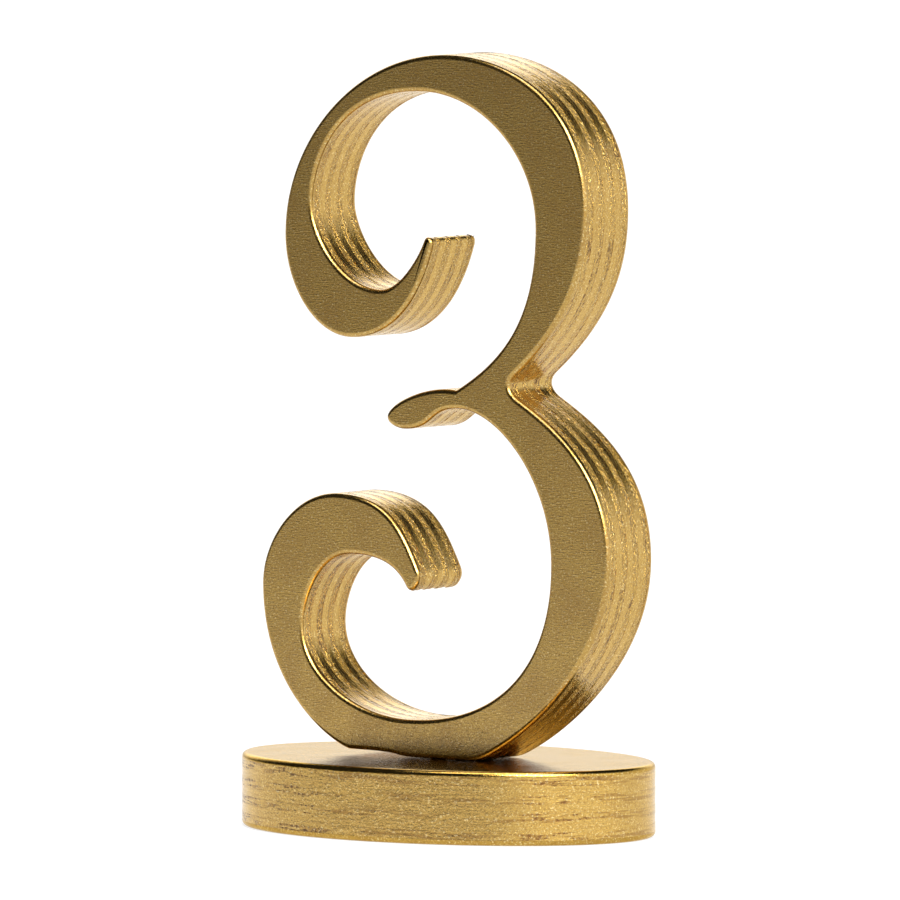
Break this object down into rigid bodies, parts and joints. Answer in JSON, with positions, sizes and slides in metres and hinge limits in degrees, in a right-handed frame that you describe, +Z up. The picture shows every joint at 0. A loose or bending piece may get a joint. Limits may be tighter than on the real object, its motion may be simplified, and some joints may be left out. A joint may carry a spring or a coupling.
{
  "type": "table number holder",
  "caption": "Free-standing decorative table number: a gold wooden swash numeral three on an oval base, set on a table to number it at an event.",
  "frame": {"origin": "centre of the base's footprint, on the underside that rests on the table", "axes": "+Z up, -Y the side that the numeral reads from, +X to the reader's right"},
  "size_m": [0.094, 0.0644, 0.1581],
  "materials": {
    "gold_on_face_veneer": "satin metallic gold paint sprayed on the smooth face veneer, with fine horizontal grain lines and small bright flecks",
    "gold_on_long_grain": "satin metallic gold paint on sanded veneer edges",
    "gold_on_end_grain": "metallic gold paint on rough, thirsty veneer edges, darker and less even",
    "zinc_plated_steel": "bright zinc plating"
  },
  "bodies": {
    "root": {"numeral_front_veneer": "gold_on_face_veneer", "numeral_cross_ply_1": "gold_on_end_grain", "numeral_long_ply_1": "gold_on_long_grain", "numeral_cross_ply_2": "gold_on_end_grain", "numeral_core_ply": "gold_on_long_grain", "numeral_cross_ply_3": "gold_on_end_grain", "numeral_long_ply_2": "gold_on_long_grain", "numeral_cross_ply_4": "gold_on_end_grain", "numeral_back_veneer": "gold_on_face_veneer", "base_top_veneer": "gold_on_face_veneer", "base_cross_ply_1": "gold_on_end_grain", "base_long_ply_1": "gold_on_long_grain", "base_cross_ply_2": "gold_on_end_grain", "base_core_ply": "gold_on_long_grain", "base_cross_ply_3": "gold_on_end_grain", "base_long_ply_2": "gold_on_long_grain", "base_cross_ply_4": "gold_on_end_grain", "base_bottom_veneer": "gold_on_face_veneer", "wood_screw_left": "zinc_plated_steel", "wood_screw_right": "zinc_plated_steel"}
  },
  "joints": []
}
